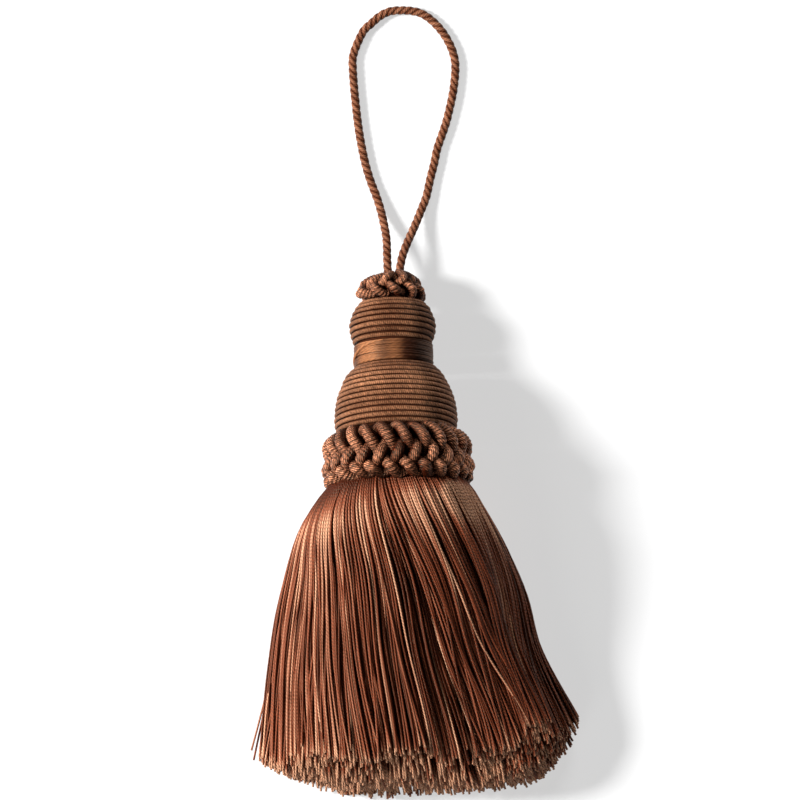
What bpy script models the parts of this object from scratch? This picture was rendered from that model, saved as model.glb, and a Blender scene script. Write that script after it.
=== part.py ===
"""A corded tassel lying on its side: hanging loop, knotted top, two wound bulbs, braided collar, skirt.

Units are metres and +Z is up. The tassel lies on the floor (z = 0) with its head towards +Y, and
the origin is on the floor under the middle of everything but the loop. The head end is the lower
one, because the collar is wider than the upper bulb and both touch the floor.

Head, collar and knot are modelled as they hang, with their axis along their own Z, and an empty
lays them down. The skirt and the loop droop to the floor, so they are laid out in place.
"""

import math
import random

import bmesh
import bpy
from mathutils import Matrix, Vector

MM = 0.001

# ---- the head's attitude -------------------------------------------------------------------------

LEAN = math.radians(12.9)       # the axis dips this much towards the head
YAW = math.radians(2.2)         # and points this much to the left of +Y
COLLAR_PLACE = Vector((-3.85, 12.53, 12.92)) * MM

# ---- stations along the axis, from the middle of the collar towards the head ---------------------

GAP = 0.3 * MM
BACKING_FOOT = -2.2 * MM
BACKING_TOP = -1.0 * MM
WAIST_FOOT = 17.6 * MM
WAIST_TOP = 21.2 * MM
KNOT_FOOT = 29.7 * MM
KNOT_TOP = 35.2 * MM

# ---- windings ------------------------------------------------------------------------------------

BULB_SEGMENTS = 22
GIMP_RAISE = 0.34 * MM          # a wound turn stands this far out of its groove
LOWER_TURNS = 13
UPPER_TURNS = 8
FLOSS_RAISE = 0.12 * MM
FLOSS_TURNS = 3

# radius, station: the surface on which the gimp lies, from top to foot
LOWER_BULB = ((7.0, 17.3), (8.6, 15.7), (9.85, 13.2), (10.6, 10.9), (10.95, 8.3), (10.85, 6.2),
              (10.45, 5.0))
UPPER_BULB = ((5.6, 29.3), (6.9, 27.6), (7.6, 25.4), (7.5, 23.3), (6.75, 21.5))
WAIST = ((6.95, 21.2), (7.0, 19.4), (7.1, 17.6))

# ---- braids --------------------------------------------------------------------------------------

COLUMNS_PER_KNOT = 4            # crest, flank, groove, flank
STEPS_PER_ROW = 4
ACROSS_KNOT = (1.0, 0.62, 0.0, 0.62)
ALONG_KNOT = (0.30, 0.88, 1.0, 0.88)

COLLAR_KNOTS = 24
COLLAR_ROWS = 3
COLLAR_RAISE = 0.95 * MM
# radius, station: the bed of the braid on the collar's outside, from its top to its lip
COLLAR_BED = ((11.55, 5.0), (12.2, 3.5), (12.6, 1.2), (12.7, -1.2), (12.65, -3.4), (12.6, -5.0))
# and the inside wall, from the lip back up
COLLAR_BORE = ((11.75, -4.0), (10.95, -1.6), (10.95, 3.6))

KNOT_KNOTS = 12
KNOT_ROWS = 2
KNOT_RAISE = 0.75 * MM
KNOT_BED = ((2.3, 35.0), (3.9, 34.2), (5.0, 32.9), (5.25, 31.3), (4.9, 30.0))

# ---- skirt ---------------------------------------------------------------------------------------

SKIRT_COLUMNS = 20
SKIRT_ROWS = 12
STRAND_FILL = 0.74              # a strand's share of the space between it and the next
STRAND_STRAY = 0.16             # sideways stray, as a share of half a cell
END_RAGGED = 1.3 * MM
SEED = 11

# One row for each section of the skirt, from the backing to the ends: middle (x), foot (y on the
# floor), rake (how much y grows with height), curl (how much nearer the head the sides end), half
# width, top, widest height and underside in mm; flat, the rise below which the underside is level
# (1 is round); and the angles of the corners between the top, the sides and the underside.
SECTION_COLUMNS = ("middle", "foot", "rake", "curl", "half_width", "top", "widest", "underside",
                   "flat", "upper_corner", "lower_corner")
SKIRT_SECTIONS = (
    (-3.75, 7.3, 0.231, 0.0, 10.5, 23.65, 13.4, 3.15, 1.0, 33.0, -33.0),
    (-3.65, 4.12, 0.231, 0.0, 12.0, 25.8, 14.1, 2.4, 1.0, 33.0, -33.0),
    (-3.5, -0.47, 0.25, 0.3, 16.7, 26.6, 12.0, 0.0, 0.8, 36.0, -31.0),
    (-2.5, -14.37, 0.3, 1.5, 22.8, 24.0, 8.0, 0.0, 0.65, 42.0, -27.0),
    (0.0, -46.57, 0.42, 6.0, 28.9, 16.5, 4.0, 0.0, 0.5, 48.0, -22.0),
)

# ---- loop ----------------------------------------------------------------------------------------

CORD_DIAMETER = 1.5 * MM
CORD_LAY = 3.9 * MM             # length of cord that holds one full turn of its three plies
STEPS_PER_LAY = 9
PLY_DEPTH = 0.62                # radius in the groove between two plies, as a share of the cord's

# x, y and z in mm, from the left root round the loop to the right root
LOOP_ROUTE = (
    (-5.65, 47.19, 4.90), (-5.75, 49.44, 4.35), (-5.85, 52.54, 3.20), (-6.25, 55.04, 2.18),
    (-6.90, 57.84, 1.32), (-7.70, 60.34, 0.91), (-8.65, 62.84, 0.78), (-9.70, 66.34, 0.76),
    (-10.70, 71.44, 0.76), (-11.40, 76.94, 0.76), (-11.90, 82.94, 0.76), (-11.75, 85.94, 0.76),
    (-10.10, 89.84, 0.76), (-8.60, 91.34, 0.76), (-7.05, 92.69, 0.76), (-5.25, 93.54, 0.76),
    (-3.15, 93.74, 0.76), (-1.10, 93.59, 0.76), (0.70, 93.04, 0.76), (2.50, 91.74, 0.76),
    (4.15, 89.94, 0.76), (5.35, 87.99, 0.76), (6.15, 86.04, 0.76), (6.55, 83.64, 0.76),
    (6.20, 79.44, 0.76), (5.20, 74.74, 0.76), (4.50, 72.34, 0.76), (3.30, 68.84, 0.76),
    (2.75, 66.24, 0.76), (2.00, 63.24, 0.78), (1.30, 60.14, 0.91), (0.35, 57.74, 1.32),
    (-0.80, 54.94, 2.18), (-1.90, 52.54, 3.20), (-2.95, 49.79, 4.30), (-3.45, 47.29, 4.90),
)


def clear_scene():
    for obj in list(bpy.data.objects):
        bpy.data.objects.remove(obj, do_unlink=True)


def make_collection(name):
    collection = bpy.data.collections.new(name)
    bpy.context.scene.collection.children.link(collection)
    return collection


def make_material(name, colour, roughness):
    material = bpy.data.materials.new(name)
    material.use_nodes = True
    shader = material.node_tree.nodes["Principled BSDF"]
    shader.inputs["Base Color"].default_value = (*colour, 1.0)
    shader.inputs["Roughness"].default_value = roughness
    shader.inputs["Metallic"].default_value = 0.0
    return material


def add_object(name, data, material, collection, parent=None):
    obj = bpy.data.objects.new(name, data)
    if material is not None:
        data.materials.append(material)
    collection.objects.link(obj)
    obj.parent = parent
    return obj


def mesh_from(name, bm):
    """Write a bmesh to a new mesh with its faces pointing out."""
    bmesh.ops.recalc_face_normals(bm, faces=bm.faces)
    if bm.calc_volume(signed=True) < 0.0:
        bmesh.ops.reverse_faces(bm, faces=bm.faces)
    mesh = bpy.data.meshes.new(name)
    bm.to_mesh(mesh)
    bm.free()
    return mesh


# ---- curves through points -----------------------------------------------------------------------

def smooth_point(points, index, share):
    """Catmull-Rom point between points[index] and the next one."""
    last = len(points) - 1
    before, start = points[max(index - 1, 0)], points[index]
    end, after = points[min(index + 1, last)], points[min(index + 2, last)]
    leave = (end - before) / 2
    arrive = (after - start) / 2
    square, cube = share ** 2, share ** 3
    return (start * (2 * cube - 3 * square + 1) + leave * (cube - 2 * square + share)
            + end * (3 * square - 2 * cube) + arrive * (cube - square))


def even_points(points, count):
    """Points at even distances along the smooth curve through the given ones, both ends kept."""
    fine_steps = 24
    fine = [smooth_point(points, index, step / fine_steps)
            for index in range(len(points) - 1) for step in range(fine_steps)] + [points[-1]]
    run = [0.0]
    for start, end in zip(fine, fine[1:]):
        run.append(run[-1] + (end - start).length)
    spaced, at = [], 0
    for number in range(count):
        target = run[-1] * number / (count - 1)
        while at < len(run) - 2 and run[at + 1] < target:
            at += 1
        share = (target - run[at]) / (run[at + 1] - run[at])
        spaced.append(fine[at].lerp(fine[at + 1], share))
    return spaced


def in_metres(rows):
    return [Vector(row) * MM for row in rows]


# ---- turned and wound pieces ---------------------------------------------------------------------

def wound_profile(surface, turns, raise_by):
    """Radius and station down a wound surface, with a crest for each turn and a groove between."""
    spaced = even_points(in_metres(surface), 2 * turns + 1)
    profile = []
    for number, point in enumerate(spaced):
        ahead = spaced[min(number + 1, len(spaced) - 1)]
        behind = spaced[max(number - 1, 0)]
        along = (ahead - behind).normalized()
        outward = Vector((-along.y, along.x))
        lift = raise_by / 2 if number % 2 else -raise_by / 2
        profile.append(point + outward * lift)
    return profile


def turned_piece(name, profile, material, collection, parent):
    """Turn a profile of radius and station, which starts and ends on the axis, about Z."""
    bm = bmesh.new()
    verts = [bm.verts.new((radius, 0.0, station)) for radius, station in profile]
    for start, end in zip(verts, verts[1:]):
        bm.edges.new((start, end))
    mesh = bpy.data.meshes.new(name)
    bm.to_mesh(mesh)
    bm.free()
    obj = add_object(name, mesh, material, collection, parent)
    screw = obj.modifiers.new("Turn", "SCREW")
    screw.axis = "Z"
    screw.steps = BULB_SEGMENTS
    screw.render_steps = BULB_SEGMENTS
    screw.use_merge_vertices = True
    screw.merge_threshold = 0.00001
    return obj


def wound_piece(name, surface, turns, raise_by, foot, material, collection, parent):
    """A turned core with raised windings, flat on top, down to a station hidden in its neighbour."""
    profile = wound_profile(surface, turns, raise_by)
    neck = profile[-1].x
    top = Vector((0.0, profile[0].y))
    closed = [top] + profile
    if foot < profile[-1].y - GAP:
        closed.append(Vector((neck, foot)))
    closed.append(Vector((0.0, min(foot, profile[-1].y))))
    return turned_piece(name, closed, material, collection, parent)


def rest_on_floor(obj):
    """Give the piece its own mesh and press what lies below the floor flat against it."""
    bpy.context.view_layer.update()
    evaluated = obj.evaluated_get(bpy.context.evaluated_depsgraph_get())
    mesh = bpy.data.meshes.new_from_object(evaluated)
    obj.modifiers.clear()
    obj.data = mesh
    up = obj.matrix_world.inverted().to_3x3() @ Vector((0.0, 0.0, 1.0))
    for vertex in mesh.vertices:
        height = (obj.matrix_world @ vertex.co).z
        if height < 0.0:
            vertex.co -= up * height


# ---- braided pieces ------------------------------------------------------------------------------

def knot_lift(column, step, rows):
    """How high the braid stands at a grid point, from 0 in a hole to 1 on a crest."""
    row = min(step // STEPS_PER_ROW, rows - 1)
    place = step - row * STEPS_PER_ROW
    at_edge = step in (0, rows * STEPS_PER_ROW)
    along = ALONG_KNOT[place % STEPS_PER_ROW]
    own = ACROSS_KNOT[(column + 2 * (row % 2)) % COLUMNS_PER_KNOT]
    if place % STEPS_PER_ROW == 0 and not at_edge:
        # between two rows, both rows' crests are half hidden and the flanks are holes
        return along if column % 2 == 0 else 0.0
    return along * own if not at_edge else 0.5 * own + 0.1


def knot_slant(step):
    """Share of a knot's width by which the strands have run sideways at this step of the braid."""
    phase = step / STEPS_PER_ROW
    row = math.floor(phase)
    share = phase - row
    return (share - 0.5) / 2 if row % 2 == 0 else (0.5 - share) / 2


def braid_point(column, step, bed, knots, rows, raise_by):
    """Grid point of a braid: its bed's point, raised, and turned about the axis along the strand."""
    count = rows * STEPS_PER_ROW
    point = bed[step]
    along = (bed[min(step + 1, count)] - bed[max(step - 1, 0)]).normalized()
    outward = Vector((-along.y, along.x))
    raised = point + outward * raise_by * knot_lift(column, step, rows)
    angle = 2 * math.pi / knots * (column / COLUMNS_PER_KNOT + knot_slant(step))
    return Vector((raised.x * math.cos(angle), raised.x * math.sin(angle), raised.y))


def make_collar(material, collection, parent):
    """A ring with a raised over-and-under braid of four strands, sprung from a torus grid."""
    steps = COLLAR_ROWS * STEPS_PER_ROW
    bed = even_points(in_metres(COLLAR_BED), steps + 1)
    bore = in_metres(COLLAR_BORE)
    minor = steps + 1 + len(bore)
    bpy.ops.mesh.primitive_torus_add(major_segments=COLLAR_KNOTS * COLUMNS_PER_KNOT,
                                     minor_segments=minor, major_radius=1.0, minor_radius=0.1)
    torus = bpy.context.active_object
    mesh = torus.data.copy()
    bpy.data.objects.remove(torus, do_unlink=True)
    for vertex in mesh.vertices:
        column, step = divmod(vertex.index, minor)
        if step <= steps:
            vertex.co = braid_point(column, step, bed, COLLAR_KNOTS, COLLAR_ROWS, COLLAR_RAISE)
            continue
        wall = bore[step - steps - 1]
        angle = 2 * math.pi * column / (COLLAR_KNOTS * COLUMNS_PER_KNOT)
        vertex.co = (wall.x * math.cos(angle), wall.x * math.sin(angle), wall.y)
    bm = bmesh.new()
    bm.from_mesh(mesh)
    return add_object("collar", mesh_from("collar", bm), material, collection, parent)


def make_knot(material, collection, parent):
    """The cap on the head: two rows of knots between a small flat top and a flat foot."""
    steps = KNOT_ROWS * STEPS_PER_ROW
    bed = even_points(in_metres(KNOT_BED), steps + 1)
    columns = KNOT_KNOTS * COLUMNS_PER_KNOT
    bm = bmesh.new()
    rings = []
    for step in range(steps + 1):
        places = [braid_point(column, step, bed, KNOT_KNOTS, KNOT_ROWS, KNOT_RAISE)
                  for column in range(columns)]
        rings.append([bm.verts.new(place) for place in places])
    for upper, lower in zip(rings, rings[1:]):
        for column in range(columns):
            beside = (column + 1) % columns
            bm.faces.new((upper[column], lower[column], lower[beside], upper[beside]))
    for ring, station in ((rings[0], KNOT_TOP), (rings[-1], KNOT_FOOT)):
        middle = bm.verts.new((0.0, 0.0, station))
        for column in range(columns):
            bm.faces.new((ring[column], ring[(column + 1) % columns], middle))
    return add_object("top_ruff", mesh_from("top_ruff", bm), material, collection, parent)


# ---- skirt ---------------------------------------------------------------------------------------

def outline(section, angle):
    """Point of a section's outline: x as a share of the half width, and height in mm."""
    rise = math.sin(angle)
    if rise >= 0.0:
        height = section["widest"] + (section["top"] - section["widest"]) * rise
    else:
        depth = section["widest"] - section["underside"]
        height = section["widest"] - depth * min(-rise / section["flat"], 1.0)
    return Vector((math.cos(angle), height))


def section_point(section, across, up):
    """Where a strand crosses a section: across and up run from -1 to 1 inside the outline."""
    upper, lower = math.radians(section["upper_corner"]), math.radians(section["lower_corner"])
    right, rise = (across + 1) / 2, (up + 1) / 2
    roof = outline(section, math.pi - upper - right * (math.pi - 2 * upper))
    floor = outline(section, math.pi - lower + right * (math.pi + 2 * lower))
    side = lower + rise * (upper - lower)
    edge_right, edge_left = outline(section, side), outline(section, math.pi - side)
    corners = ((outline(section, math.pi - lower), outline(section, lower)),
               (outline(section, math.pi - upper), outline(section, upper)))
    blend = (roof * rise + floor * (1 - rise) + edge_right * right + edge_left * (1 - right)
             - (corners[0][0] * (1 - right) + corners[0][1] * right) * (1 - rise)
             - (corners[1][0] * (1 - right) + corners[1][1] * right) * rise)
    aside = blend.x * section["half_width"]
    along = (section["foot"] + section["rake"] * blend.y + math.tan(YAW) * aside
             + section["curl"] * blend.x ** 4)
    return Vector((section["middle"] + aside, along, blend.y)) * MM


def cell_middle(face):
    """The middle of the backing's cell that a strand's end face grew from."""
    middle = face.calc_center_median()
    column = math.floor((middle.x + 1) / 2 * SKIRT_COLUMNS)
    row = math.floor((middle.y + 1) / 2 * SKIRT_ROWS)
    return Vector(((2 * column + 1) / SKIRT_COLUMNS - 1, (2 * row + 1) / SKIRT_ROWS - 1, 0.0))


def draw_strands(bm, cells, last):
    """Extrude every cell through the sections, in a flat plan where z is the section's number."""
    draw = random.Random(SEED)
    half_x, half_y = 1.0 / SKIRT_COLUMNS, 1.0 / SKIRT_ROWS
    for number in range(1, last + 1):
        cells = bmesh.ops.extrude_discrete_faces(bm, faces=cells)["faces"]
        stray = STRAND_STRAY if number > 1 else 0.0
        for cell in cells:
            middle = cell_middle(cell)
            on_floor = middle.y - half_y < -0.999
            shift = Vector((draw.uniform(-stray, stray) * half_x,
                            draw.uniform(-stray, stray) * half_y, number))
            for vertex in cell.verts:
                side_x = math.copysign(half_x, vertex.co.x - middle.x)
                side_y = math.copysign(half_y, vertex.co.y - middle.y)
                vertex.co = middle + shift + Vector((side_x, side_y, 0.0)) * STRAND_FILL
                if on_floor and side_y < 0.0:
                    vertex.co.y = -1.0
    return cells


def make_skirt(material, collection):
    """Strands drawn out one by one from the cells of a round backing."""
    sections = [dict(zip(SECTION_COLUMNS, row)) for row in SKIRT_SECTIONS]
    bm = bmesh.new()
    bmesh.ops.create_grid(bm, x_segments=SKIRT_COLUMNS, y_segments=SKIRT_ROWS, size=1.0)
    cells = list(bm.faces)
    rim = [edge for edge in bm.edges if edge.is_boundary]
    wall = bmesh.ops.extrude_edge_only(bm, edges=rim)["geom"]
    for vertex in (item for item in wall if isinstance(item, bmesh.types.BMVert)):
        vertex.co.z = -1.0
    back_rim = [item for item in wall if isinstance(item, bmesh.types.BMEdge) and item.is_boundary]
    bmesh.ops.contextual_create(bm, geom=back_rim)
    ends = draw_strands(bm, cells, len(sections) - 1)

    turned = Matrix.Rotation(YAW, 3, "Z") @ Matrix.Rotation(-LEAN, 3, "X")
    thickness = turned @ Vector((0.0, BACKING_TOP - BACKING_FOOT, 0.0))
    for vertex in bm.verts:
        across, up, number = vertex.co
        vertex.co = section_point(sections[max(round(number), 0)], across, up)
        if number < 0.0:
            vertex.co += thickness
    draw = random.Random(SEED + 1)
    for end in ends:
        longer = draw.uniform(-END_RAGGED, END_RAGGED)
        for vertex in end.verts:
            vertex.co.y -= longer
    return add_object("skirt", mesh_from("skirt", bm), material, collection)


# ---- loop ----------------------------------------------------------------------------------------

def make_loop(material, collection, guides):
    """A three-ply cord: a lobed section swept along the route and turned with the lay."""
    shape = bpy.data.curves.new("ply_section", "CURVE")
    shape.dimensions = "2D"
    lobes = shape.splines.new("POLY")
    lobes.points.add(5)
    for number, point in enumerate(lobes.points):
        radius = CORD_DIAMETER / 2 * (1.0 if number % 2 == 0 else PLY_DEPTH)
        angle = -math.pi * number / 3
        point.co = (radius * math.cos(angle), radius * math.sin(angle), 0.0, 1.0)
    lobes.use_cyclic_u = True
    section = add_object("ply_section", shape, None, guides)
    section.hide_render = True
    section.display_type = "WIRE"

    route = in_metres(LOOP_ROUTE)
    length = sum((end - start).length for start, end in zip(route, route[1:]))
    steps = round(length / CORD_LAY * STEPS_PER_LAY)
    curve = bpy.data.curves.new("loop_cord", "CURVE")
    curve.dimensions = "3D"
    curve.bevel_mode = "OBJECT"
    curve.bevel_object = section
    curve.use_fill_caps = True
    spline = curve.splines.new("POLY")
    spline.points.add(steps)
    for number, place in enumerate(even_points(route, steps + 1)):
        spline.points[number].co = (*place, 1.0)
        spline.points[number].tilt = -2 * math.pi * number / STEPS_PER_LAY
    return add_object("loop_cord", curve, material, collection)


def main():
    clear_scene()
    tassel = make_collection("tassel")
    guides = make_collection("guides")
    gimp = make_material("gimp", (0.42, 0.24, 0.12), 0.75)
    floss = make_material("floss", (0.46, 0.25, 0.11), 0.4)
    cord = make_material("twisted cord", (0.38, 0.19, 0.09), 0.7)
    thread = make_material("thread", (0.35, 0.15, 0.07), 0.6)

    axis = bpy.data.objects.new("tassel_axis", None)
    tassel.objects.link(axis)
    axis.location = COLLAR_PLACE
    axis.rotation_euler = (-(math.pi / 2 + LEAN), 0.0, YAW)

    lower = wound_piece("lower_bulb", LOWER_BULB, LOWER_TURNS, GIMP_RAISE, BACKING_TOP + GAP,
                        gimp, tassel, axis)
    waist = wound_piece("waist_band", WAIST, FLOSS_TURNS, FLOSS_RAISE, WAIST_FOOT, floss, tassel, axis)
    upper = wound_piece("upper_bulb", UPPER_BULB, UPPER_TURNS, GIMP_RAISE, WAIST_TOP + GAP,
                        gimp, tassel, axis)
    collar = make_collar(cord, tassel, axis)
    knot = make_knot(cord, tassel, axis)
    for piece in (lower, waist, upper, collar, knot):
        rest_on_floor(piece)
    make_skirt(thread, tassel)
    make_loop(cord, tassel, guides)


main()
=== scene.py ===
"""The looks of the corded tassel: every cord, winding, braid and thread as its own yarn.

Units are metres and +Z is up, in the part's frame: the tassel lies on the floor (z = 0) with its
head towards +Y. The tables are in mm. Head, collar and knot are laid out along their own axis and
turned into place by in_place(); the skirt and the loop are laid out where they lie.
"""

import math

import bpy
import numpy as np
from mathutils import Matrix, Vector


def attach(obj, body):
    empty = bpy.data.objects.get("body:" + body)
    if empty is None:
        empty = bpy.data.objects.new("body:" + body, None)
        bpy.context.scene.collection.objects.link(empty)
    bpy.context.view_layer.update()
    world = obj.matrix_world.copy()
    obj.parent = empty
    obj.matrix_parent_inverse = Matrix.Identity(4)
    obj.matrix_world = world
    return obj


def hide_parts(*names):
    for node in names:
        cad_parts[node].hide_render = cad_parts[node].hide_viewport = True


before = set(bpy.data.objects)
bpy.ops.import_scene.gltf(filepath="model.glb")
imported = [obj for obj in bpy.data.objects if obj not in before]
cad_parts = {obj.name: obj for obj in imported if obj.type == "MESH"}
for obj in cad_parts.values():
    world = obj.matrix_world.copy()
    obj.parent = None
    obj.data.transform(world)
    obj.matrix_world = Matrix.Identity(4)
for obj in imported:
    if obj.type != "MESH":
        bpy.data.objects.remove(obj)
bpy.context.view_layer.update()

MM = 0.001
FLOOR_CLEARANCE = 0.02  # nothing lies lower than this, in mm

# ---- the head's attitude ----

LEAN = math.radians(12.9)  # the axis dips this much towards the head
YAW = math.radians(2.2)  # and points this much to the left of +Y
COLLAR_PLACE = np.array((-3.85, 12.53, 12.92))

# ---- the head's profiles: radius and station along the axis, from top to foot ----

LOWER_BULB = ((7.0, 17.3), (8.6, 15.7), (9.85, 13.2), (10.6, 10.9), (10.95, 8.3), (10.85, 6.2),
              (10.45, 5.0))
UPPER_BULB = ((5.6, 29.3), (6.9, 27.6), (7.6, 25.4), (7.5, 23.3), (6.75, 21.5))
WAIST = ((6.95, 21.2), (7.0, 19.4), (7.1, 17.6))

# ---- the skirt: one row for each section ----

# middle is its x and foot its y on the floor; rake is its lean for each mm of height, and curl
# how far its two sides are drawn back; then half its width, and the heights of its top, its
# widest place and its underside; flat is how low on its lower half the underside is cut level;
# and the corners are angles on its outline, in degrees
SECTION_COLUMNS = ("middle", "foot", "rake", "curl", "half_width", "top", "widest", "underside",
                   "flat", "upper_corner", "lower_corner")
SKIRT_SECTIONS = np.array((
    (-3.75, 7.3, 0.231, 0.0, 10.5, 23.65, 13.4, 3.15, 1.0, 33.0, -33.0),
    (-3.85, 4.12, 0.231, 0.0, 13.2, 25.8, 14.1, 2.4, 1.0, 33.0, -33.0),
    (-4.1, -0.47, 0.25, 0.3, 16.2, 26.6, 12.0, 0.0, 0.8, 36.0, -31.0),
    (-3.1, -14.37, 0.3, 1.5, 21.8, 24.0, 8.0, 0.0, 0.65, 42.0, -27.0),
    (-2.6, -30.0, 0.36, 3.7, 24.7, 20.3, 6.0, 0.0, 0.57, 45.0, -24.5),
    (0.0, -46.57, 0.42, 6.0, 28.9, 16.5, 4.0, 0.0, 0.5, 48.0, -22.0),
))

# ---- the hanging loop: x, y and z, from the left root round it to the right root ----

LOOP_ROUTE = (
    (-5.62, 45.60, 5.15), (-5.65, 47.19, 4.90), (-5.75, 49.44, 4.35), (-5.85, 52.55, 3.20),
    (-6.26, 55.12, 2.18), (-6.92, 58.03, 1.32), (-7.73, 60.63, 0.91), (-8.69, 63.15, 0.78),
    (-9.75, 66.68, 0.76), (-10.76, 71.82, 0.76), (-11.46, 77.37, 0.76), (-11.97, 83.42, 0.76),
    (-11.82, 86.44, 0.76), (-10.15, 90.37, 0.76), (-8.64, 91.88, 0.76), (-7.08, 93.24, 0.76),
    (-5.26, 94.10, 0.76), (-3.15, 94.30, 0.76), (-1.08, 94.15, 0.76), (0.73, 93.60, 0.76),
    (2.55, 92.29, 0.76), (4.21, 90.47, 0.76), (5.42, 88.51, 0.76), (6.23, 86.54, 0.76),
    (6.63, 84.12, 0.76), (6.28, 79.89, 0.76), (5.27, 75.15, 0.76), (4.56, 72.73, 0.76),
    (3.35, 69.20, 0.76), (2.80, 66.58, 0.76), (2.04, 63.56, 0.78), (1.34, 60.43, 0.91),
    (0.37, 57.93, 1.32), (-0.79, 55.02, 2.18), (-1.90, 52.55, 3.20), (-2.95, 49.79, 4.30),
    (-3.45, 47.29, 4.90), (-3.80, 45.70, 5.15),
)


# ---- shader nodes as expressions ----

STROKES_ALONG = 0.75  # how close together short strokes lie, along their slant
STROKES_ACROSS = 2.2  # and across it
HIGHLIGHT = (1.0, 0.74, 0.5, 1.0)
WHITE = (1.0, 1.0, 1.0, 1.0)


class Wire:
    """A node's output. Sums of wires and numbers add Math nodes to the same material."""

    def __init__(self, look, socket):
        self.look = look
        self.socket = socket

    def __add__(self, other):
        return self.look.maths("ADD", self, other)

    __radd__ = __add__

    def __sub__(self, other):
        return self.look.maths("SUBTRACT", self, other)

    def __rsub__(self, other):
        return self.look.maths("SUBTRACT", other, self)

    def __mul__(self, other):
        return self.look.maths("MULTIPLY", self, other)

    __rmul__ = __mul__

    def __pow__(self, other):
        return self.look.maths("POWER", self, other)


class Look:
    """A material being put together from nodes."""

    def __init__(self, name):
        self.material = bpy.data.materials.new(name)
        self.material.use_nodes = True
        self.tree = self.material.node_tree
        self.tree.nodes.clear()

    def node(self, kind, settings=None, sockets=None):
        """Add one node: its settings first, then the values or wires of its input sockets."""
        node = self.tree.nodes.new("ShaderNode" + kind)
        for name, value in (settings or {}).items():
            setattr(node, name, value)
        for name, value in (sockets or {}).items():
            if isinstance(value, Wire):
                self.tree.links.new(value.socket, node.inputs[name])
            else:
                node.inputs[name].default_value = value
        return node

    def wire(self, node, output=0):
        return Wire(self, node.outputs[output])

    def maths(self, operation, *values):
        return self.wire(self.node("Math", {"operation": operation}, dict(enumerate(values))))

    def wave(self, turns):
        """1 at every whole turn, 0 half-way between."""
        return self.maths("COSINE", turns * (2 * math.pi)) * 0.5 + 0.5

    def mix(self, share, first, second):
        """Two colours, the second by its share. The node has its colours on sockets 6 and 7."""
        sockets = {0: share, 6: first, 7: second}
        return self.wire(self.node("Mix", {"data_type": "RGBA"}, sockets), 2)

    def scaled(self, colour, factor):
        sockets = {0: colour, "Scale": factor}
        return self.wire(self.node("VectorMath", {"operation": "SCALE"}, sockets))

    def noise(self, scale, place=None):
        place = place or self.wire(self.node("TexCoord"), "Object")
        return self.wire(self.node("TexNoise", {}, {"Scale": scale, "Vector": place}))

    def attribute(self, name):
        return self.wire(self.node("Attribute", {"attribute_name": name}), "Fac")

    def strand(self):
        """Turns round the strand, and mm along it."""
        uv = self.node("UVMap", {"uv_map": "strand"})
        split = self.node("SeparateXYZ", {}, {0: self.wire(uv)})
        return self.wire(split, 0), self.wire(split, 1)

    def strokes(self, around, along, girth):
        """Noise drawn out into short slanted strokes, on a strand that is girth mm round."""
        first = (around * girth + along) * STROKES_ALONG
        second = (around * girth - along) * STROKES_ACROSS
        return self.noise(1.0, self.wire(self.node("CombineXYZ", {}, {0: first, 1: second})))

    def finish(self, colour, roughness, height=None, depth=0.0, gloss=0.4, glow=0.0):
        """Close the material. height is its relief, depth mm deep, and glow its own light."""
        sockets = {"Base Color": colour, "Roughness": roughness, "Specular IOR Level": gloss,
                   "Specular Tint": HIGHLIGHT}
        if glow:
            sockets["Emission Color"] = WHITE
            sockets["Emission Strength"] = glow
        if height is not None:
            relief = {"Height": height, "Distance": depth * MM, "Strength": 1.0}
            sockets["Normal"] = self.wire(self.node("Bump", {}, relief))
        shader = self.node("BsdfPrincipled", {}, sockets)
        self.node("OutputMaterial", {}, {"Surface": self.wire(shader)})
        return self.material


def linear(red, green, blue):
    """A colour given as 0 to 255 screen values, as the shader's own numbers."""
    def channel(value):
        value /= 255.0
        return value / 12.92 if value <= 0.04045 else ((value + 0.055) / 1.055) ** 2.4
    return (channel(red), channel(green), channel(blue), 1.0)


# ---- yarns ----

CLOUD_SCALE = 180.0  # patches of light and dark about 5 mm across
GRAIN_SCALE = 2600.0  # and fibres of about 0.4 mm
TINT_WEIGHT = 0.8  # tint and cloud choose between the dark and the light colour
CLOUD_WEIGHT = 0.4
DARKER = 0.1  # and this much always goes to the dark one
CREST_POWER = 0.6  # a ply's crest is broad, and the groove beside it narrow
FIBRES_ROUND = 3  # fibres to a ply, round the yarn
FIBRES_ALONG = 4  # and over the length of its lay
TICK_SLANT = 2.2  # ticks to each mm along the yarn
TICK_POWER = 3.5  # they are narrow
TICK_SHADE = 0.38  # painted shade between them
TICK_HIGHLIGHT = 1.4  # and the painted highlight a tick adds to it
PALE_AND_SHEEN_FROM = 0.7  # the tint at which the pale colour, in part painted sheen, starts to come in
PALE_AND_SHEEN_GAIN = 2.3  # how fast it does
ROOT_SHEEN = 0.3  # and how much more of it there is at the root, as painted sheen
TICK_HEIGHT = 0.8  # the relief of ticks, fibres and grain, where a ply's is 1
FIBRE_HEIGHT = 0.35
GRAIN_HEIGHT = 0.3


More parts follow.
